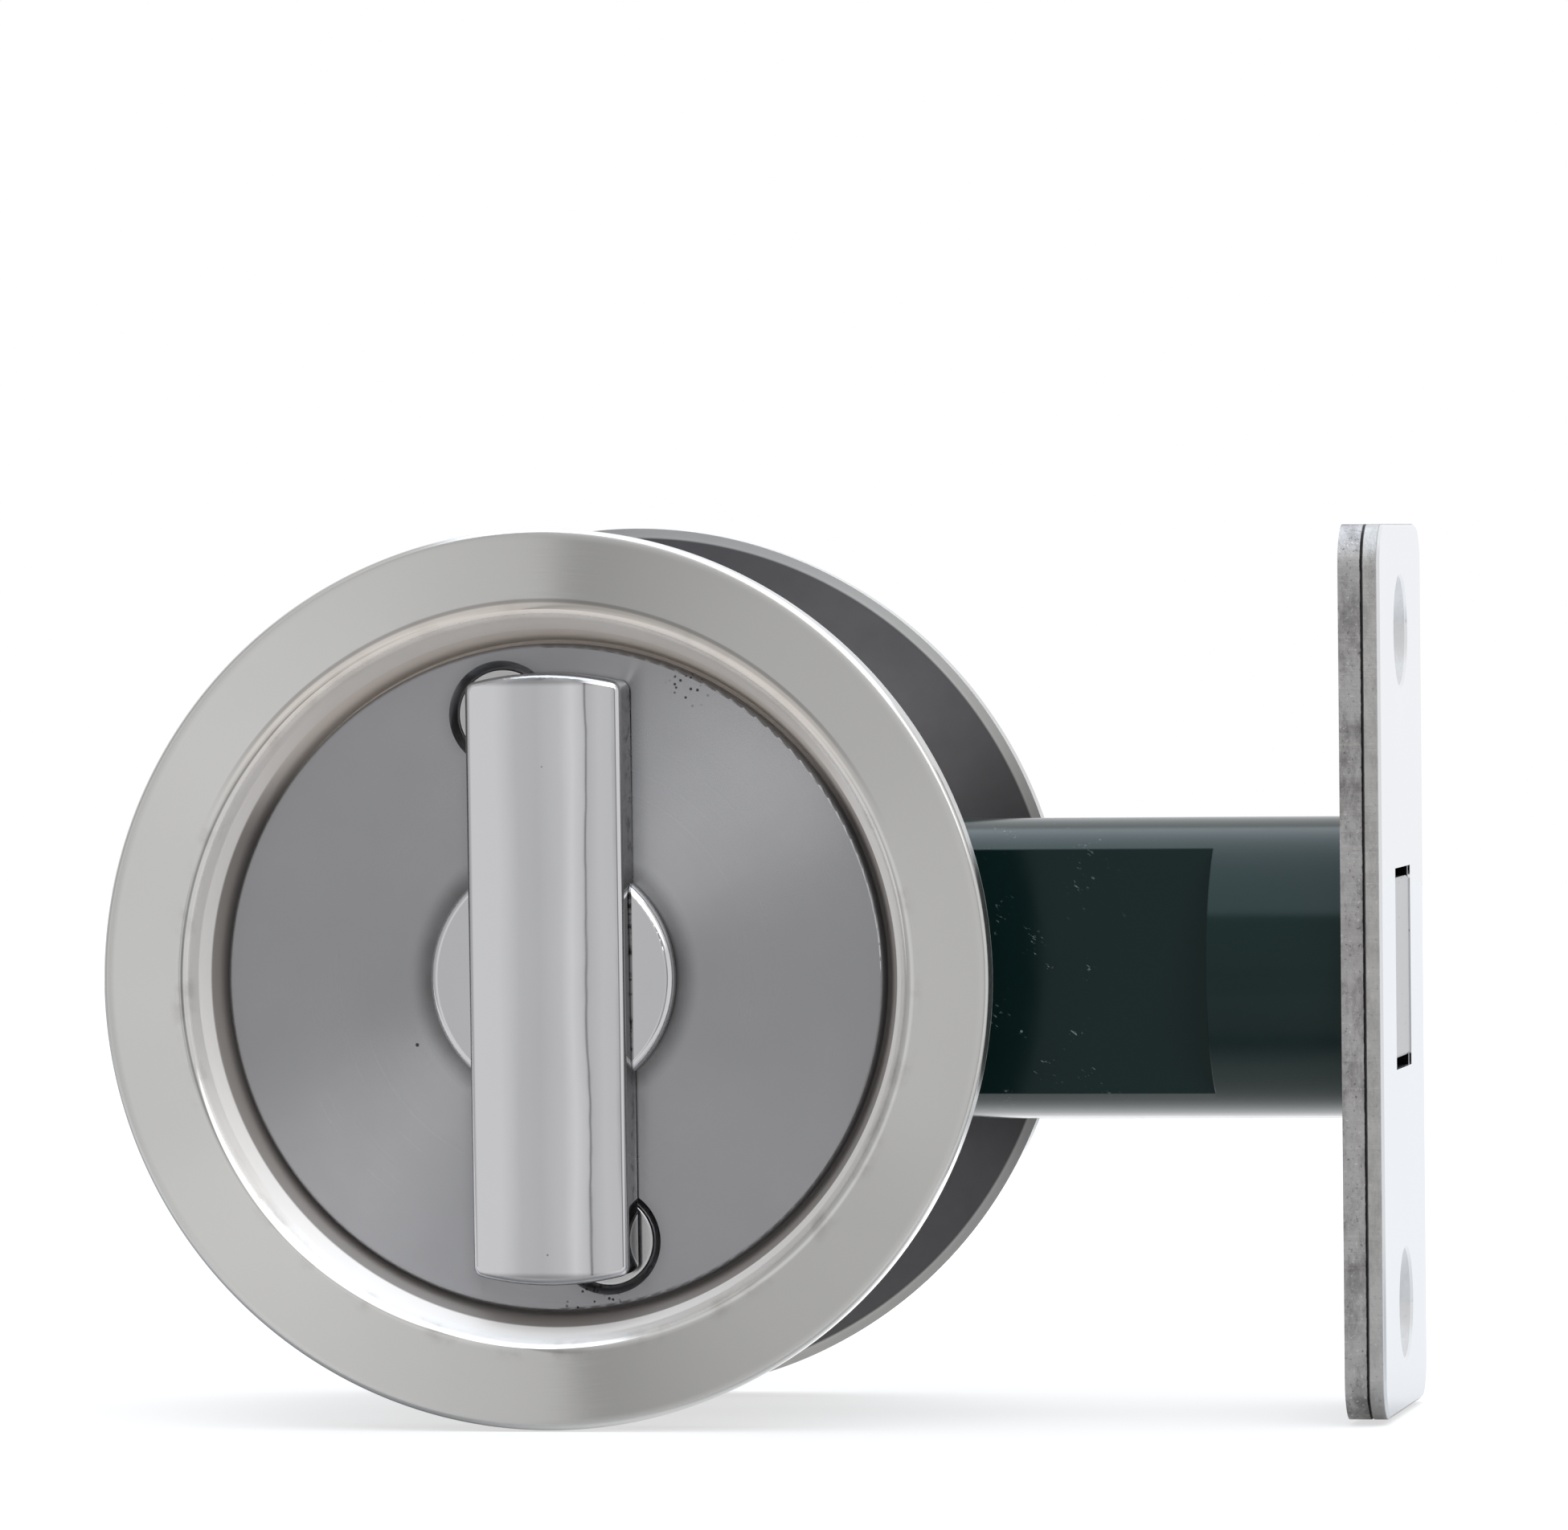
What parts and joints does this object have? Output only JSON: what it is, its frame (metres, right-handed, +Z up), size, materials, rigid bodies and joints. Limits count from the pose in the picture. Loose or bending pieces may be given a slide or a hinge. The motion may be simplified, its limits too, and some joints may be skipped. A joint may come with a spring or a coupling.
{
  "type": "cavity sliding door lock",
  "caption": "Flush lock for a cavity sliding door: round dished roses, turn snib inside, coin release outside, and a tubular latch with a claw bolt behind a rectangular faceplate.",
  "frame": {"origin": "on the turn axis, half way through the door, at the centre of the door's cross bore", "axes": "+X toward the door edge and faceplate, +Y from the snib side to the outside, +Z up"},
  "size_m": [0.0925, 0.0388, 0.065],
  "materials": {
    "satin_steel": "satin",
    "spun_steel": "spun",
    "polished_metal": "polished",
    "case_paint": "gloss",
    "plain_steel": "as cut",
    "bright_steel": "plated",
    "spring_steel": "blued",
    "nylon": "moulded"
  },
  "bodies": {
    "lock_body": {"front_ring": "satin_steel", "front_plate": "spun_steel", "back_ring": "satin_steel", "back_plate": "spun_steel", "fixing_posts": "plain_steel", "fixing_screws": "bright_steel", "latch_case": "case_paint", "forend": "plain_steel", "faceplate": "polished_metal", "hub_bushes": "nylon", "cam_pin": "plain_steel", "end_plug": "nylon", "detent_spring": "spring_steel"},
    "turn": {"turn_snib": "polished_metal", "spindle": "plain_steel", "hub": "plain_steel", "coin_turn": "polished_metal", "snib_washer": "nylon", "snib_circlip": "bright_steel", "coin_washer": "nylon", "coin_circlip": "bright_steel"},
    "bolt": {"bolt": "plain_steel", "claw_pin": "plain_steel"},
    "claw": {"claw": "plain_steel"}
  },
  "joints": [
    {"name": "snib_turn", "type": "hinge", "parent": "lock_body", "child": "turn", "pos_m": [0, 0, 0], "axis": [0, 1, 0], "range_deg": [0, 90], "deforming": ["detent_spring"]},
    {"name": "bolt_slide", "type": "slide", "parent": "lock_body", "child": "bolt", "axis": [1, 0, 0], "range_m": [0, 0.01101]},
    {"name": "claw_swing", "type": "hinge", "parent": "bolt", "child": "claw", "pos_m": [0.0449, 0, -0.0035], "axis": [0, 1, 0], "range_deg": [0, 40]}
  ],
  "couplings": [
    {"joint": "bolt_slide", "follows": "snib_turn", "m_per_rad": 0.0070045},
    {"joint": "claw_swing", "follows": "snib_turn", "ratio": 0.4444}
  ]
}
